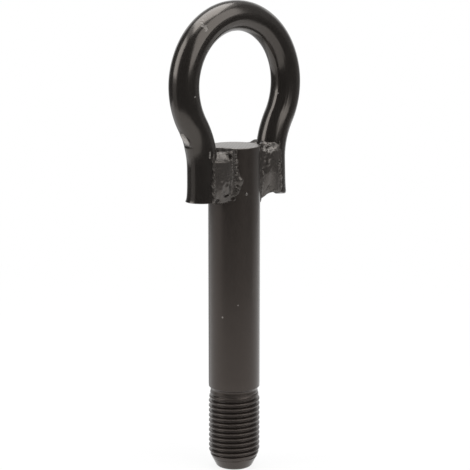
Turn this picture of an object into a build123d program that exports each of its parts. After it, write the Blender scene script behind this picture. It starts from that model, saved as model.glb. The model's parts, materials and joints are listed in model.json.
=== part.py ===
"""Screw-in tow eye: a bent rod eye welded to the two sides of a turned shank with a threaded end."""

import os
from math import atan2, cos, degrees, radians, sin, sqrt

from build123d import *

# Sizes are in millimetres and degrees. Z runs up the shank's axis, with 0 at the top of the thread.
# The loop stands in a plane of X and Z, and the front of the part looks along -Y.

# Shank: a turned bar with a relief neck, a thread and a tapered point
shank_diameter = 20.0
shank_length = 94.6
top_edge_break = 0.3
neck_length = 3.4
neck_depth = 0.8
thread_diameter = 19.9
thread_length = 24.0
thread_end_step = 0.65
point_length = 5.3
tip_diameter = 13.6
tip_chamfer = 0.7

# Eye: a round rod bent to a loop, with a leg along each side of the shank
rod_diameter = 11.5
loop_bore = 40.3
loop_rise = 23.3
bend_radius = 31.7
leg_overlap = 19.5
leg_gap = 1.7
eye_forward = 1.15

# Weld beads: one in each of the four grooves between the legs and the shank
bead_crown = 0.7
bead_toe_sink = 0.3
bead_top_setback = 0.4
bead_top_chamfer = 1.2
bead_ramp_start = 3.0
leg_toe_angle = 82.0
left_foot_angle = 56.0
right_foot_angle = 44.0
left_bead_drop = 0.8
right_bead_drop = 3.1

# Heights and radii that follow from the sizes above
shank_radius = shank_diameter / 2
thread_radius = thread_diameter / 2
tip_radius = tip_diameter / 2
neck_radius = min(shank_radius, thread_radius) - neck_depth
point_radius = thread_radius - thread_end_step
shoulder_z = neck_length
top_z = shoulder_z + shank_length
thread_end_z = -thread_length
tip_z = thread_end_z - point_length

rod_radius = rod_diameter / 2
loop_radius = loop_bore / 2 + rod_radius
loop_z = top_z + loop_rise
leg_x = shank_radius + leg_gap + rod_radius
leg_end_z = top_z - leg_overlap
bend_x = leg_x + bend_radius
bend_z = loop_z - sqrt((loop_radius + bend_radius) ** 2 - bend_x**2)
bend_angle = degrees(atan2(loop_z - bend_z, bend_x))
bead_top_z = top_z - bead_top_setback

os.makedirs("parts", exist_ok=True)


# The shank is one profile turned about Z: point, thread, relief neck, shoulder and sawn top face.
with BuildPart() as shank:
    with BuildSketch(Plane.XZ):
        with BuildLine():
            Polyline(
                (0, tip_z),
                (tip_radius, tip_z),
                (point_radius, thread_end_z - thread_end_step),
                (thread_radius, thread_end_z),
                (thread_radius, 0),
                (neck_radius, thread_radius - neck_radius),
                (neck_radius, shoulder_z - (shank_radius - neck_radius)),
                (shank_radius, shoulder_z),
                (shank_radius, top_z),
                (0, top_z),
                close=True,
            )
        make_face()
    revolve(axis=Axis.Z)
    chamfer(shank.edges().group_by(Axis.Z)[0], length=tip_chamfer)
    chamfer(shank.edges().group_by(Axis.Z)[-1], length=top_edge_break)
shank.part.label = "shank"
export_step(shank.part, "parts/shank.step")


# The eye follows one tangent line: leg, reverse bend, loop, reverse bend, leg.
with BuildPart() as eye:
    with BuildLine(Plane.XZ.offset(eye_forward)) as centreline:
        Line((leg_x, leg_end_z), (leg_x, bend_z))
        CenterArc((bend_x, bend_z), bend_radius, 180, -bend_angle)
        CenterArc((0, loop_z), loop_radius, -bend_angle, 180 + 2 * bend_angle)
        CenterArc((-bend_x, bend_z), bend_radius, bend_angle, -bend_angle)
        Line((-leg_x, bend_z), (-leg_x, leg_end_z))
    with BuildSketch(Plane.XY.offset(leg_end_z)):
        with Locations((leg_x, -eye_forward)):
            Circle(rod_radius)
    sweep(path=centreline.wire())
eye.part.label = "eye"
export_step(eye.part, "parts/eye.step")


def weld_bead(side, facing, foot_angle, drop):
    """Fill the groove between one leg and the shank, with a crowned face and a hollow ramp at its lower end.

    side is -1 for the left leg and 1 for the right, and facing is -1 for the front and 1 for the back. The
    bead's foot on the shank is foot_angle round from the leg, and its lower end drops below the leg's end.
    """
    foot_radius = shank_radius - bead_toe_sink
    shank_toe = Vector(
        side * foot_radius * cos(radians(foot_angle)),
        facing * foot_radius * sin(radians(foot_angle)),
    )
    leg_centre = Vector(side * leg_x, -eye_forward)
    leg_toe_radius = rod_radius - bead_toe_sink
    leg_toe = leg_centre + Vector(
        -side * leg_toe_radius * cos(radians(leg_toe_angle)),
        facing * leg_toe_radius * sin(radians(leg_toe_angle)),
    )
    crown = (shank_toe + leg_toe) / 2 + Vector(0, facing * bead_crown)
    foot_z = leg_end_z - drop
    ramp_top = (side * (leg_x - bead_ramp_start), leg_end_z)
    ramp_foot = (shank_toe.X, foot_z)
    with BuildPart() as bead:
        with BuildSketch(Plane.XY.offset(foot_z)):
            with BuildLine():
                ThreePointArc(leg_toe, crown, shank_toe)
                Polyline(shank_toe, (0, -eye_forward), leg_centre, leg_toe)
            make_face()
        extrude(amount=bead_top_z - foot_z)
        crown_face = bead.faces().sort_by(Axis.Y)[-1 if facing > 0 else 0]
        chamfer(crown_face.edges().sort_by(Axis.Z)[-1], length=bead_top_chamfer)
        with BuildSketch(Plane.XZ):
            with BuildLine():
                TangentArc(ramp_top, ramp_foot, tangent=(-side, 0))
                Polyline(
                    ramp_foot,
                    (0, foot_z),
                    (0, top_z),
                    (side * leg_x, top_z),
                    (side * leg_x, leg_end_z),
                    ramp_top,
                )
            make_face()
        extrude(amount=shank_diameter, both=True, mode=Mode.INTERSECT)
        add(shank.part, mode=Mode.SUBTRACT)
        add(eye.part, mode=Mode.SUBTRACT)
    return bead.part


# Each leg has a bead along its front and one along its back.
for side_name, side, foot_angle, drop in (
    ("left", -1, left_foot_angle, left_bead_drop),
    ("right", 1, right_foot_angle, right_bead_drop),
):
    for face_name, facing in (("front", -1), ("back", 1)):
        bead_name = f"weld_{face_name}_{side_name}"
        bead_part = weld_bead(side, facing, foot_angle, drop)
        bead_part.label = bead_name
        export_step(bead_part, f"parts/{bead_name}.step")
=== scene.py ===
"""Painted surfaces of a welded screw-in tow eye, worked out with numpy around its solids, and a studio."""

import json
import math

import bpy
import numpy as np
from bpy.props import FloatProperty, FloatVectorProperty, PointerProperty
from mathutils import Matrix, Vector


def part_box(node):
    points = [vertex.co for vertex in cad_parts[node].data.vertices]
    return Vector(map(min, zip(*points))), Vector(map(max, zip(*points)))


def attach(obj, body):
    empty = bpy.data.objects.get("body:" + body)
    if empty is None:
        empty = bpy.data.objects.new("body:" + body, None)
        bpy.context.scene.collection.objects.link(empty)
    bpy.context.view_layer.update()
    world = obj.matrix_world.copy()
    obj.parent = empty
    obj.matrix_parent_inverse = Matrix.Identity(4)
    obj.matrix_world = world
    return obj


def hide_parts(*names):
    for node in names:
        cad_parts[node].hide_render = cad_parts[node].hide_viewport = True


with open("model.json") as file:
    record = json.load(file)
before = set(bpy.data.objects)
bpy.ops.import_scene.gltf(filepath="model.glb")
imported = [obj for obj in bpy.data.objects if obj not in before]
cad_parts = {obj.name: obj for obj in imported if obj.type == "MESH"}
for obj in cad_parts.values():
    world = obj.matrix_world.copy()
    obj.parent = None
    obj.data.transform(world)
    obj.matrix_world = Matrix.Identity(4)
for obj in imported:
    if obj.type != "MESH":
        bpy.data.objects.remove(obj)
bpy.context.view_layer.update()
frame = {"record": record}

bl_info = {
    "name": "Welded Tow Eye",
    "version": (1, 0, 0),
    "blender": (4, 5, 0),
    "location": "View3D > Sidebar > Tow Eye",
    "description": "Builds the painted shank, bent eye and weld beads of a screw-in tow eye",
    "category": "Add Mesh",
}

MM = 0.001
BODY = "root"
SHANK_LOW, SHANK_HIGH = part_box("shank")
EYE_LOW, EYE_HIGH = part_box("eye")
THREAD = next(m for m in frame["record"]["mounts"] if m["name"] == "thread")["dims"]


# Settings

def length(name, description, default):
    """A size in metres."""
    return FloatProperty(name=name, description=description, default=default, unit="LENGTH", precision=5)


def angle(name, description, degrees):
    """An angle, given in degrees and kept in radians."""
    return FloatProperty(name=name, description=description, default=math.radians(degrees), subtype="ANGLE")


def share(name, description, default):
    """A plain number, such as a strength."""
    return FloatProperty(name=name, description=description, default=default)


def colour(name, description, default):
    """A linear colour."""
    return FloatVectorProperty(name=name, description=description, default=default, subtype="COLOR", size=3)


class TowEyeShankSettings(bpy.types.PropertyGroup):
    """Sizes of the turned shank."""

    radius: length("Radius", "Radius of the plain bar", SHANK_HIGH.y)
    tip_z: length("Tip height", "Height of the flat end of the point", SHANK_LOW.z)
    top_z: length("Top height", "Height of the sawn top face", SHANK_HIGH.z)
    top_edge: length("Top edge", "Rounding of the top face's rim", 0.3 * MM)
    bite: length("Bite", "Depth of the weld's bite out of the top rim", 1.6 * MM)
    shoulder_z: length("Shoulder height", "Height at which the plain bar begins", 3.4 * MM)
    neck_depth: length("Neck depth", "Depth of the relief neck below the thread's crests", 0.8 * MM)
    thread_radius: length("Thread radius", "Radius over the thread's crests", THREAD["r_mm"] * MM)
    thread_length: length("Thread length", "Length of the full thread", THREAD["length_mm"] * MM)
    thread_pitch: length("Thread pitch", "Rise of the right-hand thread in one turn", 2.0 * MM)
    thread_turn: share("Thread turn", "Turn from +X at which a crest crosses the thread's top", 0.25)
    thread_depth: length("Thread depth", "Depth of the painted groove", 1.23 * MM)
    run_out: length("Run-out", "Length over which the groove fades towards the neck", 4.2 * MM)
    point_radius: length("Point radius", "Radius where the point leaves the thread", 9.15 * MM)
    point_length: length("Point length", "Length of the tapered point", 5.3 * MM)
    tip_radius: length("Tip radius", "Radius of the point's flat end before its edge is rounded", 6.8 * MM)
    tip_round: length("Tip rounding", "Rounding of the point's end", 1.25 * MM)


class TowEyeRodSettings(bpy.types.PropertyGroup):
    """Sizes of the bent rod."""

    rod_radius: length("Rod radius", "Half the rod's thickness", (EYE_HIGH.y - EYE_LOW.y) / 2)
    loop_radius: length(
        "Loop radius",
        "Radius of the loop's centre line",
        EYE_HIGH.x - (EYE_HIGH.y - EYE_LOW.y) / 2,
    )
    loop_z: length("Loop height", "Height of the loop's centre", EYE_HIGH.z - EYE_HIGH.x)
    plane_y: length(
        "Plane",
        "Distance of the eye's middle plane from the shank's axis",
        (EYE_LOW.y + EYE_HIGH.y) / 2,
    )
    leg_end_z: length("Leg end", "Height of the legs' lower ends", EYE_LOW.z)
    leg_gap: length("Leg gap", "Space between each leg and the shank", 1.7 * MM)
    bend_radius: length("Bend radius", "Radius of the two reverse bends", 31.7 * MM)
    lean: angle("Lean", "Backward lean of the eye, from the welding", 1.2)
    end_round: length("End rounding", "Rounding of the sheared ends", 0.2 * MM)
    flare: length("Flare", "How far the sheared ends spread", 0.6 * MM)
    burr: length("Burr", "How far the right end's sheared burr hangs down", 0.9 * MM)
    notch: length("Notch", "How far the right end is sheared away behind the beads", 0.8 * MM)
    fold_run: length("Fold place", "Run along the rod from its left end to the fold's lower edge", 23.9 * MM)
    fold_height: length("Fold height", "Height of the fold pressed up outside the left bend", 0.7 * MM)
    ripple: length("Ripple", "Slight unevenness of the bent rod", 0.035 * MM)


class TowEyeBeadSettings(bpy.types.PropertyGroup):
    """Sizes of the four weld beads and of the spatter drop."""

    crown: length("Crown", "How far a bead swells out of its groove", 0.7 * MM)
    leg_toe: angle("Toe on the leg", "Where a bead's face ends round the leg", 82.0)
    left_foot: angle("Left foot", "Where the left beads' faces end round the shank", 50.0)
    right_foot: angle("Right foot", "Where the right beads' faces end round the shank", 38.0)
    left_belly: length("Left belly", "How far the left beads hang below the leg", 1.2 * MM)
    right_ramp: length("Right ramp", "How far the right beads run down below the leg at the shank", 2.7 * MM)
    toe_lift: length("Toe height", "Height of the toes where they leave the face", 0.32 * MM)
    toe_swell: length("Toe swell", "How much thicker the toe on the leg is half-way up", 0.45 * MM)
    lump_height: length("Lump height", "Height of the larger lumps", 0.5 * MM)
    grain_height: length("Grain height", "Height of the fine unevenness", 0.016 * MM)
    spatter: length("Spatter", "Radius of the spatter drop", 0.6 * MM)
    spatter_z: length("Spatter height", "Height of the spatter drop on the shank", 80.55 * MM)
    spatter_turn: angle("Spatter azimuth", "Turn of the spatter drop from the front towards +X", -14.4)


class TowEyePaintSettings(bpy.types.PropertyGroup):
    """Colours of the black paint, the painted reflection on the top face, and the pale tint of the chips and
    painted highlights.
    """

    shank: colour("Shank", "Satin paint of the shank", (0.0070, 0.0060, 0.0052))
    shank_pale: colour("Shank, pale", "Paler flecks of the shank's paint", (0.0110, 0.0095, 0.0083))
    rod: colour("Eye", "Glossy paint of the eye", (0.0095, 0.0083, 0.0075))
    rod_pale: colour("Eye, pale", "Paler flecks of the eye's paint", (0.0140, 0.0122, 0.0110))
    weld: colour("Weld", "Paint over the weld beads", (0.0185, 0.0163, 0.0148))
    weld_pale: colour("Weld, pale", "Paler flecks over the weld beads", (0.0310, 0.0274, 0.0250))
    # Painted reflection: the top face's pale colour stands in for the bright surroundings that its black
    # paint reflects at a grazing angle.
    top: colour("Top face", "Thin paint of the sawn top face", (0.1750, 0.1690, 0.1600))
    # Pale tint shared by the scuffed chips and by the painted highlights and painted light listed with them.
    chip_and_highlight: colour("Chips", "Scuffed paint at the chips", (0.4200, 0.4000, 0.3800))
    gloss: colour("Gloss tint", "Warm tint of the paint's reflections", (1.0, 0.91, 0.83))
    satin: colour("Satin tint", "Warmer tint of the shank's reflections", (1.0, 0.84, 0.75))


class TowEyeStageSettings(bpy.types.PropertyGroup):
    """Camera, softboxes, cards, surroundings and floor."""

    azimuth: angle("Azimuth", "Direction of the camera round the shank", -42.2)
    elevation: angle("Elevation", "Height of the camera above the horizon", 10.93)
    distance: length("Distance", "Distance of the camera from its target", 649.0 * MM)
    target_z: length("Target", "Height of the camera's target on the shank's axis", 63.14 * MM)
    lens: share("Lens", "Focal length in millimetres on a 36 mm sensor", 129.1)
    shift_x: share("Shift", "Sideways shift of the picture", 0.00174)
    left_box: share("Left softbox", "Brightness of the softbox on the left", 2.8)
    front_box: share("Front softbox", "Brightness of the softbox in front on the right", 2.3)
    top_box: share("Top softbox", "Brightness of the softbox overhead", 3.8)
    black_card: share("Black card", "Brightness of the card on the camera's side", 0.08)
    side_card: share("Side card", "Brightness of the card on the right", 0.25)
    left_card: share("Left card", "Brightness of the card behind on the left", 0.10)
    grey_card: share("Grey cards", "Brightness of the cards on the left and behind", 0.45)
    fill: share("Fill", "Brightness of the surroundings for soft light", 0.35)
    floor: colour("Floor", "Pale floor", (0.82, 0.82, 0.82))
    floor_glow: share("Floor white", "Share of plain white that the camera sees in the near floor", 0.88)


# Meshes

def smooth(low, high, value):
    """Smooth step: 0 below low, 1 above high, with a soft S between them."""
    t = np.clip((value - low) / (high - low), 0.0, 1.0)
    return t * t * (3.0 - 2.0 * t)


def bump(value, centre, width):
    """Bell curve of height 1 at the centre."""
    return np.exp(-(((value - centre) / width) ** 2))


def columns_of(*parts):
    """Arrays spread to one shape and put side by side, such as x, y and z as points."""
    return np.stack(np.broadcast_arrays(*parts), axis=-1)


def ring_skin(name, rings, folded=False):
    """Closed mesh over an array of rings (row, column, xyz).

    Neighbouring rows are joined by quads and each row closes on itself. The first and the last row are
    closed by a fan of triangles about the middle or, for a folded ring, whose second half runs back beside
    its first, by a strip of quads between the halves. Columns turn counter-clockwise about the direction of
    the rows.
    """
    rows, columns = rings.shape[:2]
    points = rings.reshape(-1, 3)
    here = np.arange(rows * columns).reshape(rows, columns)
    after = np.roll(here, -1, axis=1)
    quads = np.stack([here[:-1], after[:-1], after[1:], here[1:]], axis=-1).reshape(-1, 4)
    if folded:
        near, far = here[[0, -1], : columns // 2], here[[0, -1], : columns // 2 - 1 : -1]
        ends = np.stack([near[:, :-1], near[:, 1:], far[:, 1:], far[:, :-1]], axis=-1)
        start, end = ends[0, :, ::-1], ends[1]
    else:
        middle = np.full(columns, rows * columns)
        points = np.concatenate([points, rings[[0, -1]].mean(axis=1)])
        start = np.stack([middle, after[0], here[0]], axis=-1)
        end = np.stack([middle + 1, here[-1], after[-1]], axis=-1)
    mesh = bpy.data.meshes.new(name)
    mesh.from_pydata(points.tolist(), [], quads.tolist() + start.tolist() + end.tolist())
    mesh.shade_smooth()
    return mesh


def place(name, mesh, material, slot, *nodes):
    """Put a finished mesh in the scene as a piece that rides on the part and replaces the named solids."""
    piece = bpy.data.objects.new(name, mesh)
    bpy.context.scene.collection.objects.link(piece)
    mesh.materials.append(material)
    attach(piece, BODY)
    if nodes:
        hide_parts(*nodes)


def shank_envelope(s, heights):
    """Radius of the turned blank at each height: point, thread, relief neck, shoulder and plain bar."""
    neck = s.thread_radius - s.neck_depth
    slope = s.thread_radius - s.point_radius
    chamfer = s.radius - neck
    neck_from, neck_to = -0.43 * s.run_out, 0.62 * s.shoulder_z
    knots = (
        (s.tip_z, s.tip_radius),
        (-s.thread_length - slope, s.point_radius),
        (-s.thread_length + 2.0 * slope, s.thread_radius),
        (neck_from, s.thread_radius),
        (neck_to, neck),
        (s.shoulder_z - chamfer, neck),
        (s.shoulder_z, s.radius),
        (s.top_z, s.radius),
    )
    knot_z, knot_r = np.array(knots).T
    return np.interp(heights, knot_z, knot_r)


def thread_groove(s, heights, turns):
    """Depth of the right-hand groove at each height and share of a turn.

    The distance from the nearest crest, in pitches, runs down a flank between a flat crest and a rounded
    root, and the whole groove fades out over the run-out.
    """
    crest, root = 0.08, 0.07
    pitches = heights / s.thread_pitch - turns - s.thread_turn
    from_crest = np.abs(pitches - np.round(pitches))
    flank = np.clip((from_crest - crest) / (0.5 - crest - root), 0.0, 1.0)
    rounded = smooth(0.0, 1.0, flank)
    fade = smooth(s.shoulder_z, s.shoulder_z - s.run_out, heights)
    return s.thread_depth * fade * 0.5 * (flank + rounded)


# Place and width of the bite's two hollows, in turns from +X, and the share of the bite that each reaches
BITE_HOLLOWS = ((0.545, 0.030, 1.0), (0.595, 0.022, 0.9))


def bite_shape(turns):
    """Share of the bite out of the top rim, by turns from +X: two bell-shaped hollows added, 1 at most."""
    hollows = sum(depth * bump(turns, middle, width) for middle, width, depth in BITE_HOLLOWS)
    return np.clip(hollows, 0.0, 1.0)


def shank_rings(s, columns=192):
    """Rings of the shank from the middle of its tip to the middle of its top face.

    The tip's rounding is an arc that meets the flat end and the cone. Above it the radius is the smaller of
    the turned blank, a little smoothed, and the thread. The rim of the top face is a quarter arc, and the
    weld's bite is taken off the radius there and just below.
    """
    turns = np.arange(columns) / columns
    slope_angle = math.atan2(s.point_radius - s.tip_radius, s.point_length)
    flat = s.tip_radius - s.tip_round / math.tan(math.radians(45.0) + slope_angle / 2)
    flat_r = flat * np.array([0.3, 0.7, 0.97])
    arc = np.linspace(-math.pi / 2, -slope_angle, 9)
    tip_r = np.concatenate([flat_r, flat + s.tip_round * np.cos(arc)])
    tip_z = np.concatenate([np.full_like(flat_r, s.tip_z), s.tip_z + s.tip_round * (1.0 + np.sin(arc))])

    step, past_shoulder = 0.1 * MM, 0.6 * MM
    cut_z = np.arange(tip_z[-1] + step, s.shoulder_z + past_shoulder, step)
    blank = shank_envelope(s, cut_z)
    soft = np.convolve(np.pad(blank, 2, mode="edge"), np.ones(5) / 5, mode="valid")
    cut_r = np.minimum(soft[:, None], s.thread_radius - thread_groove(s, cut_z[:, None], turns[None]))

    near_top = s.top_z - 3.0 * MM
    below = np.linspace(cut_z[-1] + 0.5 * MM, near_top, 36)
    above = np.linspace(near_top + 0.15 * MM, s.top_z - 0.45 * MM, 17)
    bar_z = np.concatenate([below, above])
    quarter = np.linspace(0.0, math.pi / 2, 5)
    rim_r = s.radius - s.top_edge * (1.0 - np.cos(quarter))
    rim_z = s.top_z - s.top_edge * (1.0 - np.sin(quarter))
    face_r = (s.radius - s.top_edge) * np.array([0.99, 0.9, 0.6, 0.3])
    plain_r = np.concatenate([np.full_like(bar_z, s.radius), rim_r, face_r])[:, None]
    plain_z = np.concatenate([bar_z, rim_z, np.full_like(face_r, s.top_z)])
    bitten = smooth(s.top_z - 2.0 * MM, s.top_z - 1.5 * MM, plain_z[:, None])
    bite = s.bite * bitten * bite_shape(turns[None])
    plain_r = plain_r - bite * smooth(0.5, 0.98, plain_r / s.radius)

    radii = np.concatenate([np.repeat(tip_r[:, None], columns, 1), cut_r, plain_r])
    heights = np.concatenate([tip_z, cut_z, plain_z])[:, None]
    around = turns * 2.0 * math.pi
    return columns_of(radii * np.cos(around), radii * np.sin(around), heights)


def rod_path(e, shank_radius):
    """Centre line of the eye in X and Z, with its direction and the length run so far.

    Leg, reverse bend, loop, reverse bend and leg are straight runs and arcs that meet at a tangent. The left
    half is worked out and mirrored for the right.
    """
    leg_x = shank_radius + e.leg_gap + e.rod_radius
    bend_x = leg_x + e.bend_radius
    bend_z = e.loop_z - math.sqrt((e.loop_radius + e.bend_radius) ** 2 - bend_x**2)
    turn = math.atan2(e.loop_z - bend_z, bend_x)
    edge = np.linspace(0.0, 1.0, 5) * e.end_round
    leg_z = np.concatenate([e.leg_end_z + edge, np.linspace(e.leg_end_z + 2 * e.end_round, bend_z, 36)])
    leg = columns_of(-leg_x, leg_z, 0.0, 1.0)
    a = np.linspace(0.0, turn, 61)[1:]
    sine, cosine = np.sin(a), np.cos(a)
    bend = columns_of(e.bend_radius * cosine - bend_x, bend_z + e.bend_radius * sine, -sine, cosine)
    a = np.linspace(math.pi + turn, math.pi / 2, 121)[1:]
    sine, cosine = np.sin(a), np.cos(a)
    loop = columns_of(e.loop_radius * cosine, e.loop_z + e.loop_radius * sine, sine, -cosine)
    half = np.concatenate([leg, bend, loop])
    path = np.concatenate([half, half[-2::-1] * np.array([-1.0, 1.0, 1.0, -1.0])])
    run = np.concatenate([[0.0], np.cumsum(np.hypot(*np.diff(path[:, :2], axis=0).T))])
    return path, run


# Angles round the rod of its drawing lines, in degrees
DRAW_LINES = (78.0, 101.0, 117.0, 129.0, 163.0, 172.0, 205.0, 250.0, 300.0)


def fold_relief(e, run, around):
    """Height of the fold pressed up outside the left bend.

    An oval dome with a crisp edge, whose middle turns slowly round the rod, is cut off sharply below, and a
    crease runs under the cut. Lengths are in millimetres past the fold's lower edge.
    """
    middle, half_length, half_turn = 3.2, 4.0, math.radians(20.0)
    start_turn, turn_per_mm = 12.0, -3.6
    past = (run - e.fold_run) / MM
    turn = np.angle(np.exp(1j * (around - np.radians(start_turn + turn_per_mm * past))))
    oval = 1.0 - ((past - middle) / half_length) ** 2 - (turn / half_turn) ** 2
    cut_off = smooth(-0.3, 0.3, past)
    crease = -0.6 * bump(past, -0.5, 0.55) * bump(turn, math.radians(-18.0), math.radians(18.0))
    return e.fold_height * (np.clip(oval, 0.0, 1.0) * cut_off + crease)


def flare_relief(e, run, around):
    """How far the sheared ends spread: at each, a falling curve along the rod times a broad lobe round it."""
    left_lobe, right_lobe = math.radians(-40.0), math.radians(20.0)
    left_end = 0.3 + np.exp(-run / (3.5 * MM)) + 0.6 * np.exp(-run / (0.6 * MM))
    left_end = left_end * smooth(e.fold_run + 2.0 * MM, e.fold_run - 3.0 * MM, run)
    right_end = 0.5 * np.exp(-(run.max() - run) / (3.0 * MM))
    left_side = np.exp(1.6 * (np.cos(around - left_lobe) - 1.0))
    right_side = np.exp(1.2 * (np.cos(around - right_lobe) - 1.0))
    return e.flare * (left_end * left_side + right_end * right_side)


def rod_relief(e, run, around):
    """Height of the rod's surface over a true circle, by run along the rod and angle round it.

    Angle 0 looks away from the loop's middle and a quarter turn looks forward. To the fold and the flared
    ends come fine lines along the drawn bar, and three slow waves that make it as uneven as a bent bar.
    """
    waves = (
        np.sin(run / (7.1 * MM) + 2.0 * around)
        + np.sin(run / (4.3 * MM) - around + 1.3)
        + 0.7 * np.sin(run / (2.9 * MM) + 3.0 * around + 0.4)
    )
    lines = bump(around, np.radians(DRAW_LINES)[:, None, None], math.radians(3.6)).sum(axis=0)
    drawn = 1.4 * lines * (0.6 + 0.4 * np.sin(run / (9.0 * MM)))
    uneven = e.ripple * (drawn + waves / 3.0 - 1.0)
    return fold_relief(e, run, around) + flare_relief(e, run, around) + uneven


def leant_back(e, heights):
    """Shift in Y of the eye's points: their height over its middle times the tangent of the lean."""
    middle_z = (e.leg_end_z + e.loop_z + e.loop_radius + e.rod_radius) / 2
    return (heights - middle_z) * math.tan(e.lean)


def rod_rings(e, shank_radius, columns=160):
    """Rings of the eye's rod: a circle carried along the centre line.

    Its radius is that of the rod, with rounded ends, plus the surface relief. Each end is closed by three
    smaller rings. Then the whole eye is leant back by its height, and the right end's last rows are moved
    down by the burr and up by the notch, each a bell curve round the rod.
    """
    path, run = rod_path(e, shank_radius)
    around = np.arange(columns) / columns * 2.0 * math.pi
    from_end = np.minimum(run, run.max() - run)
    depth = np.clip(1.0 - from_end / e.end_round, 0.0, 1.0)
    base = e.rod_radius - e.end_round * (1.0 - np.sqrt(1.0 - depth**2))
    radius = base[:, None] + rod_relief(e, run[:, None], around[None])
    out = columns_of(-path[:, 3], 0.0, path[:, 2])
    forward = np.array([0.0, -1.0, 0.0])
    centre = columns_of(path[:, 0], e.plane_y, path[:, 1])
    side = np.cos(around)[None, :, None] * out[:, None] + np.sin(around)[None, :, None] * forward
    rings = centre[:, None] + radius[..., None] * side
    cap = np.array([0.35, 0.8, 0.98])[:, None, None]
    first = centre[0] + cap * (rings[0] - centre[0])
    last = centre[-1] + cap[::-1] * (rings[-1] - centre[-1])
    rings = np.concatenate([first, rings, last])
    rings[..., 1] += leant_back(e, rings[..., 2])
    burr_rows, burr_turn, burr_spread = 12, math.radians(55.0), math.radians(28.0)
    burr = e.burr * bump(around, burr_turn, burr_spread)
    rings[-burr_rows:, :, 2] -= burr * np.linspace(0.0, 1.0, burr_rows)[:, None] ** 2
    notch_rows, notch_ramp, notch_turn, notch_spread = 14, 5, math.radians(65.0), math.radians(35.0)
    notch = e.notch * bump(np.abs(around - math.pi), notch_turn, notch_spread)
    rings[-notch_rows:, :, 2] += notch * np.minimum(np.arange(notch_rows) / notch_ramp, 1.0)[:, None]
    return rings


def lump_field(up, across, lumps):
    """Sum of bell-shaped lumps, each given by its place up and across the bead, two widths and a height."""
    u, v, wide_u, wide_v, height = (column[:, None, None] for column in np.array(lumps).T)
    return (height * bump(up[None], u, wide_u) * bump(across[None], v, wide_v)).sum(axis=0)


def grain_field(up, across, seed):
    """Fine unevenness of a bead, of unit strength: plane waves with seeded directions and phases.

    Lengths are in millimetres. The waves are 1 to 5 long, on a bead taken as 20 tall and 11 wide.
    """
    tall, wide, count = 20.0, 11.0, 40
    rng = np.random.default_rng(seed)
    wave = np.geomspace(1.0, 5.0, count)[:, None, None]
    lean, phase = rng.uniform(0.0, 2.0 * math.pi, (2, count, 1, 1))
    along = tall * up[None] * np.cos(lean) + wide * across[None] * np.sin(lean)
    field = (wave * np.sin(2.0 * math.pi * along / wave + phase)).sum(axis=0)
    return field / field.std()


# Lumps of each bead: place up, place across, width up, width across, height
FRONT_LEFT_LUMPS = (
    (0.95, 0.84, 0.026, 0.050, 1.2),
    (0.89, 1.02, 0.024, 0.050, 1.0),
    (0.84, 0.86, 0.024, 0.045, 1.1),
    (0.77, 1.03, 0.026, 0.050, 1.0),
    (0.72, 0.86, 0.026, 0.050, 1.1),
    (0.64, 1.04, 0.024, 0.050, 1.1),
    (0.61, 0.89, 0.024, 0.045, 1.0),
    (0.53, 1.04, 0.026, 0.050, 0.9),
    (0.90, 0.72, 0.040, 0.030, -2.2),
    (0.955, 0.74, 0.014, 0.050, 1.2),
    (0.89, 0.80, 0.030, 0.025, 1.3),
    (0.84, 0.74, 0.012, 0.050, 1.0),
    (0.38, 1.20, 0.060, 0.120, 0.6),
    (0.40, 1.00, 0.050, 0.090, 0.4),
    (0.28, 1.08, 0.030, 0.060, -1.0),
    (0.23, 1.07, 0.014, 0.028, 1.6),
    (0.20, 1.15, 0.014, 0.028, 1.6),
    (0.17, 1.08, 0.014, 0.028, 1.5),
    (0.24, 1.19, 0.012, 0.022, 1.3),
    (0.16, 0.65, 0.014, 0.110, -3.0),
    (0.075, 0.22, 0.016, 0.080, -2.6),
    (0.06, 0.90, 0.030, 0.050, -2.2),
    (0.06, 1.01, 0.030, 0.020, 1.4),
    (0.42, 0.30, 0.050, 0.120, 0.3),
    (0.35, 0.55, 0.050, 0.100, 0.5),
    (0.28, 0.25, 0.050, 0.100, 0.5),
    (0.22, 0.42, 0.040, 0.100, 0.5),
    (0.45, 0.65, 0.050, 0.100, 0.3),
    (0.45, -0.05, 0.020, 0.030, 0.6),
    (0.35, -0.06, 0.020, 0.030, 0.7),
    (0.20, -0.06, 0.025, 0.030, 0.8),
    (0.10, -0.05, 0.030, 0.030, 0.7),
)
FRONT_RIGHT_LUMPS = (
    (0.98, 0.20, 0.030, 0.090, 1.1),
    (0.92, 0.28, 0.025, 0.060, -1.4),
    (0.93, 0.50, 0.020, 0.060, 1.6),
    (0.88, 0.62, 0.018, 0.050, -1.8),
    (0.95, 0.75, 0.020, 0.050, 1.4),
    (0.90, 0.85, 0.020, 0.050, -1.4),
    (0.86, 0.50, 0.020, 0.060, 1.4),
    (0.84, 0.75, 0.020, 0.060, 1.2),
    (0.98, 0.60, 0.015, 0.050, -1.4),
    (0.60, 0.03, 0.030, 0.040, -1.2),
    (0.50, 0.06, 0.030, 0.040, 0.8),
    (0.42, 0.03, 0.030, 0.040, -1.2),
    (0.16, 0.55, 0.025, 0.100, -0.8),
    (0.45, 0.92, 0.030, 0.050, 0.7),
    (0.30, 0.95, 0.030, 0.050, 0.6),
    (0.72, 0.80, 0.050, 0.100, -0.9),
    (0.62, 0.66, 0.045, 0.090, 0.6),
    (0.55, 0.88, 0.040, 0.060, -0.9),
    (0.30, -0.05, 0.030, 0.060, 0.6),
    (0.24, -0.16, 0.030, 0.050, -0.6),
    (0.14, -0.08, 0.030, 0.070, 0.6),
    (0.07, -0.16, 0.025, 0.050, -0.5),
)
BACK_LEFT_LUMPS = (
    (0.92, 0.40, 0.050, 0.250, 0.9),
    (0.78, 0.70, 0.060, 0.140, 1.1),
    (0.60, 0.35, 0.080, 0.250, 0.9),
    (0.45, 0.95, 0.050, 0.100, 1.3),
    (0.30, 0.45, 0.090, 0.300, 1.1),
    (0.14, 0.60, 0.040, 0.140, -1.0),
)
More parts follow.
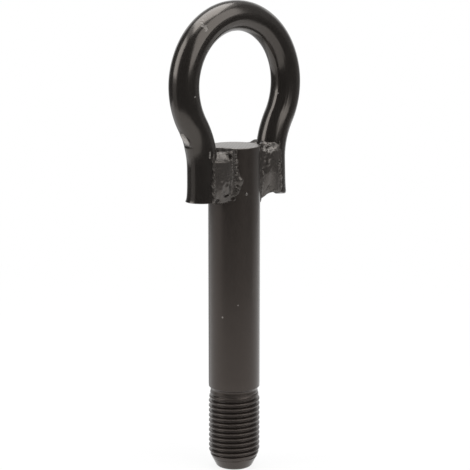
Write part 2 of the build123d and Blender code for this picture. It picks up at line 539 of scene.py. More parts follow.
BACK_RIGHT_LUMPS = (
    (0.95, 0.60, 0.040, 0.200, 1.2),
    (0.80, 0.30, 0.060, 0.200, 0.8),
    (0.68, 0.80, 0.050, 0.120, 1.1),
    (0.50, 0.45, 0.080, 0.280, 1.0),
    (0.33, 0.80, 0.050, 0.120, -0.8),
    (0.20, 0.40, 0.070, 0.250, 0.9),
)
# Where the grain is rough, in the same form
ROUGH_TOP = (
    (0.90, 0.75, 0.09, 0.22, 2.2),
    (0.60, 0.95, 0.20, 0.12, 2.0),
    (0.12, 0.60, 0.12, 0.30, 1.8),
    (0.35, 0.40, 0.15, 0.40, 0.8),
    (0.25, -0.08, 0.25, 0.08, 2.0),
)
ROUGH_CRATER = (
    (0.92, 0.50, 0.07, 0.50, 3.5),
    (0.50, 0.98, 0.30, 0.10, 1.6),
    (0.66, 0.75, 0.12, 0.25, 1.8),
    (0.10, 0.50, 0.12, 0.40, 0.8),
    (0.50, 0.00, 0.25, 0.08, 2.0),
)
# How far the toe on the shank strays, in degrees, by place up the bead
FOOT_UP = (0.0, 0.05, 0.1, 0.14, 0.19, 0.24, 0.29, 0.34, 0.38, 0.42, 0.46, 0.5, 0.56, 0.75, 1.0)
FOOT_STRAY = (1.5, 2.5, 5.0, 8.0, 12.0, 14.5, 16.5, 19.0, 20.0, 18.5, 15.0, 11.5, 8.0, 7.0, 4.0)
# Share of it on the right
RIGHT_STRAY = 0.3
# Side is -1 for the left leg and facing -1 for the front. The upper end rises by the leg, as far across as
# rise_to, and the lower part sags, both in millimetres. The sag starts at the heights sag_from, by the leg
# and by the shank, and is full from sag_in across. Lip, tilt, slope and swing give the sloping cut on top.
BEADS = {
    "weld_front_left": {
        "side": -1, "facing": -1, "lumps": FRONT_LEFT_LUMPS, "rough": ROUGH_TOP, "seed": 3,
        "rise": -0.6, "rise_to": 0.9, "sag": 2.0, "sag_from": (0.33, 0.56), "sag_in": 0.3,
        "lip": 0.835, "tilt": -0.05, "slope": 1.0, "swing": -1.2,
    },
    "weld_front_right": {
        "side": 1, "facing": -1, "lumps": FRONT_RIGHT_LUMPS, "rough": ROUGH_CRATER, "seed": 5,
        "rise": 1.2, "rise_to": 1.2, "sag": 2.4, "sag_from": (0.62, 0.43), "sag_in": 0.5,
        "lip": 0.88, "tilt": -0.12, "slope": 1.1, "swing": 0.8,
    },
    "weld_back_left": {
        "side": -1, "facing": 1, "lumps": BACK_LEFT_LUMPS, "rough": ROUGH_TOP, "seed": 8,
        "rise": 0.0, "rise_to": 0.5, "sag": 1.3, "sag_from": (0.5, 0.5), "sag_in": 0.5,
        "lip": 0.88, "tilt": 0.0, "slope": 1.2, "swing": -0.5,
    },
    "weld_back_right": {
        "side": 1, "facing": 1, "lumps": BACK_RIGHT_LUMPS, "rough": ROUGH_CRATER, "seed": 13,
        "rise": 0.9, "rise_to": 0.5, "sag": 1.6, "sag_from": (0.55, 0.45), "sag_in": 0.5,
        "lip": 0.95, "tilt": 0.0, "slope": 0.6, "swing": 0.0,
    },
}


def bead_body(w, up, across, tall, sag, sag_from, sag_in, lip, tilt, slope, swing):
    """How far a bead's smooth form stands out of the chord between its toes.

    An arched crown, lower at both ends, less a sag of the lower part that deepens downwards from a wavy
    line, and less a sloping cut above a lip. The lip rises across the bead by the tilt, and the cut's depth
    changes across it by the swing.
    """
    pivot, softness, end_loss = 0.3, 0.008, 0.6 * MM
    arch = 4.0 * across * (1.0 - across)
    level = sag_from[0] + (sag_from[1] - sag_from[0]) * across + 0.025 * np.sin(17.0 * across)
    sunk = np.clip(1.0 - up / level, 0.0, 1.0) ** 1.3
    hollow = sag * MM * sunk * smooth(sag_in - 0.4, sag_in, across) * smooth(1.0, 0.8, across)
    over_lip = (up - lip - tilt * (across - pivot)) / softness
    beyond = np.logaddexp(0.0, over_lip) * softness * tall
    cut = slope * beyond * (1.0 + swing * (across - pivot)) * smooth(0.85, 0.6, across)
    ends = smooth(0.0, 0.03, up) * smooth(1.0, 0.97, up)
    return (w.crown - (1.0 - ends) * end_loss) * arch - hollow - cut


def bead_relief(w, up, across, lumps, rough, seed):
    """Lumps and grain of a bead. The grain is stronger in the rough places."""
    grain = w.grain_height * (1.0 + lump_field(up, across, rough)) * grain_field(up, across, seed)
    return w.lump_height * lump_field(up, across, lumps) + grain


def bead_level(w, s, e, side, up, across, rise, rise_to):
    """Height of a bead's points: even rows from its lower end to its upper end.

    On the left the lower end hangs below the leg in a rounded belly. On the right it ramps down towards the
    shank, less a bell curve that follows the notch in the leg's end.
    """
    top_setback = 0.4 * MM
    belly = w.left_belly * np.sin(math.pi * across) ** 0.6
    ramp = w.right_ramp * np.clip(across / 0.9, 0.0, 1.0) ** 2.2 - e.notch * bump(across, 0.22, 0.28)
    low = e.leg_end_z - (belly if side < 0 else ramp)
    high = s.top_z - top_setback + rise * MM * smooth(rise_to, rise_to - 0.3, across)
    return low + up * (high - low)


def bead_strays(side, up, seed):
    """How far a bead's toes stray round the leg and round the shank, in radians, by place up the bead.

    On the leg it falls evenly upwards, and on the shank it follows the table, shifted by the seed. Two sine
    waves make each of them ragged.
    """
    on_leg = 16.0 - 8.0 * up + 2.5 * np.sin(13.0 * up + seed) + 2.5 * np.sin(37.0 * up + 2.0 * seed)
    on_shank = np.interp((up + 0.07 * (seed - 3)) % 1.001, FOOT_UP, FOOT_STRAY)
    on_shank = on_shank + 1.2 * np.sin(31.0 * up + seed) + 0.7 * np.sin(67.0 * up + 2.0 * seed)
    share_kept = RIGHT_STRAY if side > 0 else 1.0
    return np.radians(on_leg), share_kept * np.radians(on_shank)


def bead_rings(w, s, e, side, facing, rise, rise_to, lumps, rough, seed, rows=150, face=88, toe=18, **form):
    """Folded rings of one weld bead, from its lower end to its upper end.

    The face is the chord between a place on the leg and a place on the shank, pushed out by the bead's form
    and relief. From each end of the chord a thin toe runs out along the leg and the shank by an angle that
    strays up the bead, and dips into the metal at its edge. The second half of each ring runs back from the
    inside of the shank to the middle of the leg, and is shorter than the face, so that both ends of the bead
    are hollow.
    """
    foot = w.left_foot if side < 0 else w.right_foot
    up = np.linspace(0.0, 1.0, rows)[:, None]
    across = np.linspace(0.0, 1.0, face)[None]
    out = np.linspace(0.0, 1.0, toe)[None]
    tall = s.top_z - e.leg_end_z
    z = bead_level(w, s, e, side, up, across, rise, rise_to)
    leg_x = side * (s.radius + e.leg_gap + e.rod_radius)
    leg_y = e.plane_y + leant_back(e, z[:, :1])

    # The toes' arcs become shares of the face's rough width
    leg_stray, shank_stray = bead_strays(side, up, seed)
    slant = 2.5 * MM
    width = abs(leg_x) - s.radius + slant
    on_leg = -out[:, ::-1] * leg_stray * e.rod_radius / width
    on_shank = 1.0 + out * shank_stray * s.radius / width
    along = np.concatenate([on_leg, np.repeat(across, rows, 0), on_shank], axis=1)
    relief = bead_relief(w, up, along, lumps, rough, seed)
    leg_relief, face_relief, shank_relief = np.split(relief, [toe, toe + face], axis=1)

    fade = 1.0 - out**4
    low_end = 0.3 + 0.7 * smooth(0.0, 0.05, up)
    lift = w.toe_lift * (1.0 - 1.6 * out**4) * low_end
    leg_turn = w.leg_toe + leg_stray * out
    leg_lift = 0.5 * lift + w.toe_swell * 4.0 * up * (1.0 - up) * fade
    leg_r = e.rod_radius + leg_lift + fade * leg_relief[:, ::-1]
    leg_toe_x = leg_x - side * leg_r * np.cos(leg_turn)
    leg_toe_y = leg_y + facing * leg_r * np.sin(leg_turn)
    leg_toe = columns_of(leg_toe_x, leg_toe_y, z[:, :1])
    shank_turn = foot + shank_stray * out
    shank_r = s.radius + lift + fade * shank_relief
    shank_toe_x = side * shank_r * np.cos(shank_turn)
    shank_toe_y = facing * shank_r * np.sin(shank_turn)
    shank_toe = columns_of(shank_toe_x, shank_toe_y, z[:, -1:])

    start_r = e.rod_radius + leg_lift[:, :1]
    start_x = leg_x - side * start_r * math.cos(w.leg_toe)
    start_y = leg_y + facing * start_r * math.sin(w.leg_toe)
    end_r = s.radius + lift[:, :1]
    chord_x = side * end_r * math.cos(foot) - start_x
    chord_y = facing * end_r * math.sin(foot) - start_y
    span = np.hypot(chord_x, chord_y)
    bend = smooth(0.6, 1.0, across)
    push_x = (1.0 - bend) * facing * side * chord_y / span + bend * side * math.cos(foot)
    push_y = (1.0 - bend) * facing * np.abs(chord_x) / span + bend * facing * math.sin(foot)
    height = bead_body(w, up, across, tall, **form) + face_relief
    face_x = start_x + across * chord_x + height * push_x
    face_y = start_y + across * chord_y + height * push_y
    face_points = columns_of(face_x, face_y, z)
    outer = np.concatenate([leg_toe[:, :0:-1], face_points, shank_toe[:, 1:]], axis=1)

    back = np.linspace(1.0, 0.0, outer.shape[1])[None]
    depth, hollow_low, hollow_tall = 0.6, 0.05, 0.86
    inner_x = leg_x + back * (depth * outer[:, -1:, 0] - leg_x)
    inner_y = leg_y + back * (depth * outer[:, -1:, 1] - leg_y)
    inner_z = bead_level(w, s, e, side, hollow_low + hollow_tall * up, back, rise, rise_to)
    inner = columns_of(inner_x, inner_y, inner_z)
    rings = np.concatenate([outer, inner], axis=1)
    return rings if side * facing > 0 else rings[:, ::-1]


def drop_rings(radius, azimuth, height, size, rows=14, columns=20):
    """Rings of a spatter drop on the shank: a flattened ball, half sunk, with its poles along a radius."""
    flatness, pole_gap = 0.45, 0.08
    polar = np.linspace(pole_gap, math.pi - pole_gap, rows)[:, None]
    around = np.arange(columns)[None] / columns * 2.0 * math.pi
    out = radius - flatness * size * np.cos(polar)
    tangent = size * np.sin(polar) * np.cos(around)
    rise = size * np.sin(polar) * np.sin(around)
    radial = np.array([math.sin(azimuth), -math.cos(azimuth), 0.0])
    across = np.array([math.cos(azimuth), math.sin(azimuth), 0.0])
    vertical = np.array([0.0, 0.0, 1.0])
    return (
        out[..., None] * radial
        + tangent[..., None] * across
        + (height + rise)[..., None] * vertical
    )


# Finishes

def add_node(tree, kind, inputs=None, **settings):
    """Add a shader node, set its properties, then set or link its inputs by name or number."""
    made = tree.nodes.new(kind)
    for key, value in settings.items():
        setattr(made, key, value)
    for key, value in (inputs or {}).items():
        if isinstance(value, bpy.types.NodeSocket):
            tree.links.new(value, made.inputs[key])
        else:
            made.inputs[key].default_value = value
    return made


def maths(tree, operation, *values):
    """Output of a Math node over two or three numbers or sockets."""
    return add_node(tree, "ShaderNodeMath", dict(enumerate(values)), operation=operation).outputs[0]


def mixed_colour(tree, share_of_second, first, second):
    """Output of a Mix node between two colours, whose sockets share their names with other kinds of mix."""
    inputs = {0: share_of_second, 6: first, 7: second}
    return add_node(tree, "ShaderNodeMix", inputs, data_type="RGBA").outputs[2]


def ranged(tree, value, low, high, at_low=0.0, at_high=1.0):
    """Output of a Map Range node: at_low where the value is low, at_high where it is high, even between."""
    inputs = {"Value": value, 1: low, 2: high, 3: at_low, 4: at_high}
    return add_node(tree, "ShaderNodeMapRange", inputs).outputs[0]


def new_group(name, inputs, outputs):
    """An empty shader node group with inputs given as (name, kind, default) and outputs as (name, kind)."""
    group = bpy.data.node_groups.new(name, "ShaderNodeTree")
    for label, kind, default in inputs:
        group.interface.new_socket(label, in_out="INPUT", socket_type=kind).default_value = default
    for label, kind in outputs:
        group.interface.new_socket(label, in_out="OUTPUT", socket_type=kind)
    return group, group.nodes.new("NodeGroupInput").outputs, group.nodes.new("NodeGroupOutput").inputs


def paint_group():
    """Sprayed paint: a blotchy colour, an uneven gloss and the fine skin called orange peel."""
    group, given, out = new_group(
        "sprayed_paint",
        (
            ("Dark", "NodeSocketColor", (0.01, 0.01, 0.01, 1.0)),
            ("Pale", "NodeSocketColor", (0.02, 0.02, 0.02, 1.0)),
            ("Rough", "NodeSocketFloat", 0.3),
            ("Spread", "NodeSocketFloat", 0.05),
            ("Peel Scale", "NodeSocketFloat", 900.0),
        ),
        (("Color", "NodeSocketColor"), ("Roughness", "NodeSocketFloat"), ("Height", "NodeSocketFloat")),
    )
    where = add_node(group, "ShaderNodeTexCoord").outputs["Object"]
    blotch = add_node(group, "ShaderNodeTexNoise", {"Vector": where, "Scale": 160.0, "Detail": 5.0})
    cloud = add_node(group, "ShaderNodeTexNoise", {"Vector": where, "Scale": 420.0, "Detail": 4.0})
    spread = maths(group, "MULTIPLY", maths(group, "SUBTRACT", cloud.outputs["Fac"], 0.5), given["Spread"])
    peel = add_node(
        group, "ShaderNodeTexNoise", {"Vector": where, "Scale": given["Peel Scale"], "Detail": 2.0}
    )
    colour_mix = mixed_colour(group, blotch.outputs["Fac"], given["Dark"], given["Pale"])
    group.links.new(colour_mix, out["Color"])
    group.links.new(maths(group, "ADD", spread, given["Rough"]), out["Roughness"])
    group.links.new(peel.outputs["Fac"], out["Height"])
    return group


def chip_and_highlight_group():
    """Spot of pale colour, used for chips in the paint and for painted highlights: a ball of the given size
    about a place, its edge broken up by a fine noise.
    """
    group, given, out = new_group(
        "paint_chip_and_highlight",
        (
            ("Place", "NodeSocketVector", (0.0, 0.0, 0.0)),
            ("Size", "NodeSocketFloat", 0.001),
            ("Raggedness", "NodeSocketFloat", 1.0),
            ("Paleness", "NodeSocketFloat", 1.0),
        ),
        (("Mask", "NodeSocketFloat"), ("Pale Share", "NodeSocketFloat")),
    )
    where = add_node(group, "ShaderNodeTexCoord").outputs["Object"]
    away = add_node(group, "ShaderNodeVectorMath", {0: where, 1: given["Place"]}, operation="DISTANCE")
    near = maths(group, "DIVIDE", away.outputs["Value"], given["Size"])
    noise = add_node(group, "ShaderNodeTexNoise", {"Vector": where, "Scale": 1500.0, "Detail": 3.0})
    uneven = maths(group, "SUBTRACT", noise.outputs["Fac"], 0.5)
    total = maths(group, "MULTIPLY_ADD", uneven, given["Raggedness"], near)
    mask = ranged(group, total, 0.5, 0.65, at_low=1.0, at_high=0.0)
    group.links.new(mask, out["Mask"])
    group.links.new(maths(group, "MULTIPLY", mask, given["Paleness"]), out["Pale Share"])
    return group


def shared_group(name, make):
    """The node group of that name, made the first time that it is asked for."""
    return bpy.data.node_groups.get(name) or make()


def new_material(name):
    """A material with a Principled shader, returned with its tree and that shader."""
    material = bpy.data.materials.new(name)
    material.use_nodes = True
    return material, material.node_tree, material.node_tree.nodes["Principled BSDF"]


def painted(name, p, dark, pale, rough, spread, peel_scale, peel_height, chips_and_highlights=(), pit=-2.0):
    """Black paint from the sprayed_paint group, with ragged pale spots: scuffed chips, and painted highlights
    and painted light.

    Each spot in turn mixes its tint into the colour and sinks the height by the pit, in heights of the peel.
    """
    material, tree, shader = new_material(name)
    sprayed = shared_group("sprayed_paint", paint_group)
    chip_and_highlight_tree = shared_group("paint_chip_and_highlight", chip_and_highlight_group)
    looks = {
        "Dark": (*dark, 1.0),
        "Pale": (*pale, 1.0),
        "Rough": rough,
        "Spread": spread,
        "Peel Scale": peel_scale,
    }
    coat = add_node(tree, "ShaderNodeGroup", looks, node_tree=sprayed)
    tint, height = coat.outputs["Color"], coat.outputs["Height"]
    for values in chips_and_highlights:
        named = dict(zip(("Place", "Size", "Raggedness", "Paleness"), values))
        chip_and_highlight = add_node(tree, "ShaderNodeGroup", named, node_tree=chip_and_highlight_tree)
        tint = mixed_colour(tree, chip_and_highlight.outputs["Pale Share"], tint, (*p.chip_and_highlight, 1.0))
        height = maths(tree, "MULTIPLY_ADD", chip_and_highlight.outputs["Mask"], pit, height)
    tree.links.new(tint, shader.inputs["Base Color"])
    tree.links.new(coat.outputs["Roughness"], shader.inputs["Roughness"])
    relief = add_node(tree, "ShaderNodeBump", {"Height": height, "Distance": peel_height, "Strength": 1.0})
    tree.links.new(relief.outputs[0], shader.inputs["Normal"])
    shader.inputs["Specular IOR Level"].default_value = 0.75
    shader.inputs["Specular Tint"].default_value = (*p.gloss, 1.0)
    return material, tree, shader, tint, relief


# Place and size in metres, raggedness and paleness of the chips, and of the painted highlights and painted
# light that use the same pale tint
SHANK_NICKS_AND_LIT_BITE = (
    # The first two are small nicks in the paint.
    ((-0.0093, -0.0036, 0.0327), 0.0006, 1.0, 0.35),
    ((-0.0055, -0.0083, 0.0377), 0.0004, 1.0, 0.35),
    # Painted light: this large pale patch lightens the bite's wall, which lies in shade under the bead and
    # the leg.
    ((-0.0082, -0.0038, 0.0972), 0.0060, 1.0, 0.25),
)
ROD_CHIPS_AND_FOLD_HIGHLIGHT = (
    ((-0.0183, -0.0027, 0.1466), 0.0011, 1.0, 0.10),
    ((-0.0165, -0.0027, 0.1477), 0.0009, 1.0, 0.10),
    ((-0.0192, -0.0034, 0.1455), 0.0010, 1.0, 0.15),
    ((-0.0195, -0.0041, 0.1446), 0.0011, 1.0, 0.20),
    ((-0.0188, -0.0050, 0.1440), 0.0012, 1.0, 0.20),
    ((-0.0185, -0.0056, 0.1431), 0.0011, 1.0, 0.20),
    ((-0.0191, -0.0057, 0.1426), 0.0010, 1.0, 0.15),
    ((-0.0255, -0.0068, 0.1188), 0.0005, 1.0, 0.30),
    ((0.0200, -0.0031, 0.1167), 0.0006, 1.0, 0.30),
    ((-0.0187, -0.0073, 0.0976), 0.0007, 1.0, 0.25),
    ((-0.0187, -0.0073, 0.0968), 0.0007, 1.0, 0.30),
    ((-0.0187, -0.0073, 0.0959), 0.0007, 1.0, 0.25),
    # Painted highlight: these four soft spots paint the fold's facet pale where it catches the light.
    ((-0.0270, -0.0012, 0.1039), 0.0017, 0.2, 0.50),
    ((-0.0265, -0.0017, 0.1029), 0.0020, 0.2, 0.50),
    ((-0.0261, -0.0019, 0.1021), 0.0021, 0.2, 0.50),
    ((-0.0256, -0.0022, 0.1013), 0.0019, 0.2, 0.50),
)
WELD_SPOTS_AND_HIGHLIGHTS = (
    # Bare spots and painted highlight: the first five make the bright patches on top of the front beads
    # paler.
    ((-0.0132, -0.0064, 0.0958), 0.0040, 1.0, 0.12),
    ((-0.0116, -0.0068, 0.0960), 0.0030, 1.0, 0.12),
    ((0.0144, -0.0066, 0.0970), 0.0036, 1.0, 0.13),
    ((0.0123, -0.0069, 0.0956), 0.0024, 1.0, 0.30),
    ((0.0100, -0.0065, 0.0966), 0.0022, 1.0, 0.30),
    # Painted sheen: a faint broad spot on the lower part of the front right bead.
    ((0.0125, -0.0068, 0.0825), 0.0080, 0.6, 0.04),
    # Painted highlight on the spatter drop.
    ((-0.0025, -0.0101, 0.0806), 0.0014, 0.3, 0.10),
)


def shank_finish(p, s):
    """Satin warm black paint under a thin clear skin that shines at grazing angles, with a sawn top face
    whose pale colour is a painted reflection, and painted light on the bite's wall.
    """
    material, tree, shader, tint, relief = painted(
        "satin_black_shank",
        p,
        p.shank,
        p.shank_pale,
        rough=0.36,
        spread=0.10,
        peel_scale=1500.0,
        peel_height=0.006 * MM,
        chips_and_highlights=SHANK_NICKS_AND_LIT_BITE,
    )
    saw_turn = math.radians(-40.0)
    where = add_node(tree, "ShaderNodeTexCoord").outputs["Object"]
    turned = add_node(tree, "ShaderNodeMapping", {"Vector": where, "Rotation": (0.0, 0.0, saw_turn)})
    saw = add_node(
        tree,
        "ShaderNodeTexWave",
        {"Vector": turned.outputs[0], "Scale": 260.0, "Distortion": 3.0, "Detail": 3.0, "Detail Scale": 2.0},
        bands_direction="Y",
    ).outputs["Fac"]
    height = add_node(tree, "ShaderNodeSeparateXYZ", {0: where}).outputs["Z"]
    face = ranged(tree, height, s.top_z - 0.2 * MM, s.top_z - 0.1 * MM)
    marks = maths(tree, "MULTIPLY", saw, face)
    sawn = add_node(
        tree,
        "ShaderNodeBump",
        {"Height": marks, "Distance": 0.02 * MM, "Normal": relief.outputs[0]},
    )
    # Painted reflection on the top face, dimmer along the saw marks.
    dim_top_reflection = tuple(0.6 * value for value in p.top)
    sawn_top_reflection = mixed_colour(tree, saw, (*dim_top_reflection, 1.0), (*p.top, 1.0))
    tree.links.new(mixed_colour(tree, face, tint, sawn_top_reflection), shader.inputs["Base Color"])
    tree.links.new(sawn.outputs[0], shader.inputs["Normal"])
    tree.links.new(maths(tree, "SUBTRACT", 1.0, face), shader.inputs["Coat Weight"])
    shader.inputs["Coat IOR"].default_value = 1.12
    shader.inputs["Coat Roughness"].default_value = 0.12
    shader.inputs["Specular Tint"].default_value = (*p.satin, 1.0)
    return material


def rod_finish(p):
    """Glossy black paint with a fine peel, a few scuffed chips and pits, and a painted highlight on the
    fold's facet.
    """
    return painted(
        "gloss_black_eye",
        p,
        p.rod,
        p.rod_pale,
        rough=0.19,
        spread=0.08,
        peel_scale=700.0,
        peel_height=0.004 * MM,
        chips_and_highlights=ROD_CHIPS_AND_FOLD_HIGHLIGHT,
        pit=-10.0,
    )[0]


def bead_finish(p):
    """Glossy black paint that has run over rough weld metal and missed a few spots near the top, which are
    partly painted highlights, with a painted sheen low on the front right bead and a painted highlight on the
    spatter drop.
    """
    return painted(
        "gloss_black_weld",
        p,
        p.weld,
        p.weld_pale,
        rough=0.28,
        spread=0.12,
        peel_scale=1100.0,
        peel_height=0.014 * MM,
        chips_and_highlights=WELD_SPOTS_AND_HIGHLIGHTS,
    )[0]


def white_where_seen(tree):
    """1 for camera, glossy and transmission rays, which see plain white, and 0 for soft light."""
    path = add_node(tree, "ShaderNodeLightPath").outputs
    seen = maths(tree, "MAXIMUM", path["Is Camera Ray"], path["Is Glossy Ray"])
    return maths(tree, "MAXIMUM", seen, path["Is Transmission Ray"])


def floor_finish(t):
    """Pale floor that looks nearly white to the camera and in reflections, and keeps the part's shadow."""
    material, tree, shader = new_material("pale_floor")
    shader.inputs["Base Color"].default_value = (*t.floor, 1.0)
    shader.inputs["Roughness"].default_value = 0.9
    shader.inputs["Specular IOR Level"].default_value = 0.0
    glow = add_node(tree, "ShaderNodeEmission", {"Color": (1.0, 1.0, 1.0, 1.0), "Strength": 1.0})
    where = add_node(tree, "ShaderNodeTexCoord").outputs["Object"]
    away = add_node(tree, "ShaderNodeVectorMath", {0: where}, operation="LENGTH").outputs["Value"]
    near, far = 0.08, 0.4
    white = ranged(tree, away, near, far, at_low=t.floor_glow)
    level = maths(tree, "MULTIPLY", white_where_seen(tree), white)
    both = add_node(tree, "ShaderNodeMixShader", {0: level, 1: shader.outputs[0], 2: glow.outputs[0]})
    tree.links.new(both.outputs[0], tree.nodes["Material Output"].inputs["Surface"])
    return material


def card_finish(name, brightness):
    """Plain matt card that looks equally bright from every side."""
    material, tree, _ = new_material(name)
    glow = add_node(tree, "ShaderNodeEmission", {"Color": (1.0, 1.0, 1.0, 1.0), "Strength": brightness})
    tree.links.new(glow.outputs[0], tree.nodes["Material Output"].inputs["Surface"])
    return material


# Stage

def direction(azimuth, elevation):
    """Unit vector from the part towards a place round it. Azimuth 0 is along -Y and turns towards +X."""
    flat = math.cos(elevation)
    return Vector((math.sin(azimuth) * flat, -math.cos(azimuth) * flat, math.sin(elevation)))


def grid_mesh(name, points):
    """Open mesh over a grid of points (row, column, xyz), one quad for each cell."""
    rows, columns = points.shape[:2]
    here = np.arange(rows * columns).reshape(rows, columns)
    quads = np.stack([here[:-1, :-1], here[:-1, 1:], here[1:, 1:], here[1:, :-1]], axis=-1)
    mesh = bpy.data.meshes.new(name)
    mesh.from_pydata(points.reshape(-1, 3).tolist(), [], quads.reshape(-1, 4).tolist())
    mesh.shade_smooth()
    return mesh


def add_stage(name, mesh, material):
    """Put a mesh in the scene as part of the stage."""
    thing = bpy.data.objects.new(name, mesh)
    mesh.materials.append(material)
    bpy.context.scene.collection.objects.link(thing)
    return thing


def floor_points(floor_z, reach=3.0, columns=72):
    """Flat disc: rings of growing radius about the shank's axis."""
    radii = np.array([0.0, 0.05, 0.2, 0.8, reach])[:, None]
    around = np.linspace(0.0, 2.0 * math.pi, columns + 1)[None]
    return columns_of(radii * np.cos(around), radii * np.sin(around), floor_z)


# Radius of the dome that the cards follow, in metres
DOME_RADIUS = 1.5
# Corners of each card: azimuth, inner radius on the floor in metres, and elevation of the two edges
BLACK_CARD = ((-98.0, 0.29, 2.0, 66.0), (40.0, 0.29, 2.0, 66.0), (50.0, 0.38, 2.0, 60.0))
SIDE_CARD = ((50.0, 0.43, 2.0, 60.0), (94.0, 0.56, 2.0, 56.0), (98.0, 0.56, 2.0, 3.0))
BACK_CARD = (
    (98.0, 0.86, 2.0, 3.0),
    (136.0, 0.58, 2.0, 3.5),
    (140.0, 0.02, 2.0, 3.5),
    (178.0, 0.02, 2.0, 3.5),
)
LEFT_CARD = ((178.0, 0.54, 2.0, 50.0), (222.0, 0.54, 2.0, 52.0), (228.0, 0.54, 2.0, 7.0))
LOW_CARD = ((228.0, 0.38, 2.0, 7.0), (262.0, 0.29, 2.0, 7.0))
HIGH_CARD = ((94.0, DOME_RADIUS, 30.0, 58.0), (178.0, DOME_RADIUS, 35.0, 58.0))
CARDS = {
    "black_card": BLACK_CARD,
    "side_card": SIDE_CARD,
    "left_card": LEFT_CARD,
    "back_card": BACK_CARD,
    "low_card": LOW_CARD,
    "high_card": HIGH_CARD,
}
# Distance of the softboxes from what they face, in metres
SOFTBOX_AWAY = 1.0
# Azimuth and elevation of each softbox in degrees, and its width and height in metres
SOFTBOXES = {
    "left": (-117.0, 30.0, 0.54, 0.80),
    "front": (14.0, 34.0, 1.04, 0.97),
    "top": (152.0, 81.0, 0.90, 0.90),
}


def card_points(floor_z, corners, rows=18, columns=173):
    """Card round part of the stage: a profile carried round an arc.

    It starts just over the floor, runs out to a dome and follows the dome between two elevations. A card
    whose inner radius is the dome's has no part on the floor.
    """
    turns, inner, low, high = np.array(corners).T
    azimuth = np.linspace(turns[0], turns[-1], columns)
    near, low, high = (np.interp(azimuth, turns, values)[None] for values in (inner, low, high))
    climb = np.radians(low + (high - low) * np.linspace(0.0, 1.0, rows)[:, None])
    radii, heights = DOME_RADIUS * np.cos(climb), DOME_RADIUS * np.sin(climb)
    if near.min() < DOME_RADIUS:
        foot_radius, lift, foot_rise = 1.45, 0.002, 0.02
        out = np.array([0.0, 0.5, 1.0])[:, None]
        foot = near + (foot_radius - near) * out
        foot_z = np.full_like(foot, floor_z + lift) + foot_rise * out**2
        radii, heights = np.concatenate([foot, radii]), np.concatenate([foot_z, heights])
    turn = np.radians(azimuth)[None]
    return columns_of(radii * np.sin(turn), -radii * np.cos(turn), heights)


def add_card(name, points, brightness):
    """Card that only reflections see."""
    card = add_stage(name, grid_mesh(name + "_sheet", points), card_finish(name, brightness))
    card.visible_camera = False
    card.visible_diffuse = False
    card.visible_transmission = False
    card.visible_shadow = False


def add_softbox(name, target, azimuth, elevation, wide, tall, brightness):
    """Square-cornered area light that faces the target. Its power is its brightness times pi and its area."""
    towards = direction(math.radians(azimuth), math.radians(elevation))
    lamp = bpy.data.lights.new(name, "AREA")
    lamp.shape = "RECTANGLE"
    lamp.size, lamp.size_y = wide, tall
    lamp.energy = brightness * math.pi * wide * tall
    thing = bpy.data.objects.new(name, lamp)
    thing.location = target + towards * SOFTBOX_AWAY
    thing.rotation_euler = towards.to_track_quat("Z", "Y").to_euler()
    thing.visible_camera = False
    bpy.context.scene.collection.objects.link(thing)


def add_world(t):
    """White surroundings for the camera and for reflections, and a dimmer fill for soft light."""
    world = bpy.data.worlds.new("white_surroundings")
    world.use_nodes = True
    tree = world.node_tree
    level = ranged(tree, white_where_seen(tree), 0.0, 1.0, at_low=t.fill)
    tree.nodes["Background"].inputs["Color"].default_value = (1.0, 1.0, 1.0, 1.0)
    tree.links.new(level, tree.nodes["Background"].inputs["Strength"])
    bpy.context.scene.world = world


def add_camera(t):
    """Camera at the photograph's viewing angle."""
    data = bpy.data.cameras.new("camera")
    data.sensor_fit = "HORIZONTAL"
    data.lens, data.shift_x = t.lens, t.shift_x
    data.clip_start = 0.01
    camera = bpy.data.objects.new("camera", data)
    back = direction(t.azimuth, t.elevation)
    camera.location = Vector((0.0, 0.0, t.target_z)) + back * t.distance
    camera.rotation_euler = back.to_track_quat("Z", "Y").to_euler()
    bpy.context.scene.collection.objects.link(camera)
    bpy.context.scene.camera = camera


# Operators

class TOWEYE_OT_shank(bpy.types.Operator):
    """Build the turned shank with its thread, relief neck and sawn top"""

    bl_idname = "toweye.shank"
    bl_label = "Shank"

    def execute(self, context):
        scene = context.scene
        mesh = ring_skin("shank_skin", shank_rings(scene.toweye_shank))
        finish = shank_finish(scene.toweye_paint, scene.toweye_shank)
        place("painted_shank", mesh, finish, "shank_paint", "shank")
        return {"FINISHED"}


class TOWEYE_OT_rod(bpy.types.Operator):
    """Build the bent rod that makes the eye"""

    bl_idname = "toweye.rod"
    bl_label = "Eye"

    def execute(self, context):
        scene = context.scene
        mesh = ring_skin("eye_skin", rod_rings(scene.toweye_rod, scene.toweye_shank.radius))
        place("painted_eye", mesh, rod_finish(scene.toweye_paint), "eye_paint", "eye")
        return {"FINISHED"}


class TOWEYE_OT_beads(bpy.types.Operator):
    """Build the four weld beads and a drop of spatter"""

    bl_idname = "toweye.beads"
    bl_label = "Weld beads"

    def execute(self, context):
        scene = context.scene
        finish = bead_finish(scene.toweye_paint)
        w, s, e = scene.toweye_beads, scene.toweye_shank, scene.toweye_rod
        for node, shape in BEADS.items():
            mesh = ring_skin(node + "_skin", bead_rings(w, s, e, **shape), folded=True)
            place("painted_" + node, mesh, finish, "weld_paint", node)
        drop = drop_rings(s.radius, w.spatter_turn, w.spatter_z, w.spatter)
        place("weld_spatter", ring_skin("weld_spatter_skin", drop), finish, "weld_paint")
        return {"FINISHED"}


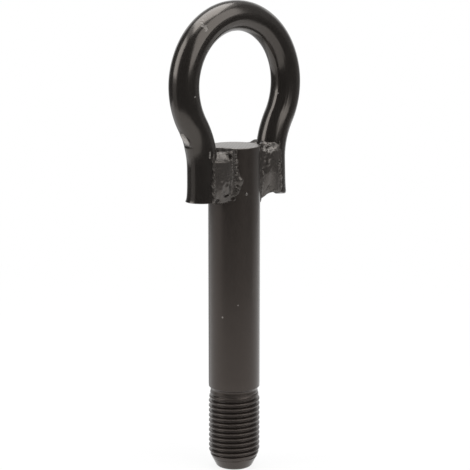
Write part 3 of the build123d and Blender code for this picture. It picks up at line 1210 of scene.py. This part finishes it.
class TOWEYE_OT_stage(bpy.types.Operator):
    """Set up the floor, the cards, the softboxes, the surroundings and the camera"""

    bl_idname = "toweye.stage"
    bl_label = "Stage"

    def execute(self, context):
        scene = context.scene
        t = scene.toweye_stage
        floor_z = scene.toweye_shank.tip_z
        scene.view_settings.view_transform = "Standard"
        add_stage("floor", grid_mesh("floor_disc", floor_points(floor_z)), floor_finish(t))
        own_tones = {"black_card": t.black_card, "side_card": t.side_card, "left_card": t.left_card}
        for name, corners in CARDS.items():
            add_card(name, card_points(floor_z, corners), own_tones.get(name, t.grey_card))
        target = Vector((0.0, 0.0, scene.toweye_rod.loop_z))
        brightness = {"left": t.left_box, "front": t.front_box, "top": t.top_box}
        for name, place_and_size in SOFTBOXES.items():
            add_softbox(name + "_softbox", target, *place_and_size, brightness[name])
        add_world(t)
        add_camera(t)
        return {"FINISHED"}


class TOWEYE_PT_panel(bpy.types.Panel):
    """Lists the steps that build the tow eye"""

    bl_idname = "TOWEYE_PT_panel"
    bl_label = "Tow Eye"
    bl_space_type = "VIEW_3D"
    bl_region_type = "UI"
    bl_category = "Tow Eye"

    def draw(self, context):
        for operator in OPERATORS:
            self.layout.operator(operator.bl_idname)


SETTINGS = {
    "toweye_shank": TowEyeShankSettings,
    "toweye_rod": TowEyeRodSettings,
    "toweye_beads": TowEyeBeadSettings,
    "toweye_paint": TowEyePaintSettings,
    "toweye_stage": TowEyeStageSettings,
}
OPERATORS = (TOWEYE_OT_shank, TOWEYE_OT_rod, TOWEYE_OT_beads, TOWEYE_OT_stage)


def register():
    """Register the settings, the operators and the panel."""
    for name, group in SETTINGS.items():
        bpy.utils.register_class(group)
        setattr(bpy.types.Scene, name, PointerProperty(type=group))
    for operator in OPERATORS:
        bpy.utils.register_class(operator)
    bpy.utils.register_class(TOWEYE_PT_panel)


def unregister():
    """Take back what register added."""
    bpy.utils.unregister_class(TOWEYE_PT_panel)
    for operator in reversed(OPERATORS):
        bpy.utils.unregister_class(operator)
    for name, group in reversed(SETTINGS.items()):
        delattr(bpy.types.Scene, name)
        bpy.utils.unregister_class(group)


def main():
    """Build every piece and the stage."""
    register()
    bpy.ops.toweye.shank()
    bpy.ops.toweye.rod()
    bpy.ops.toweye.beads()
    bpy.ops.toweye.stage()


if __name__ == "__main__":
    main()
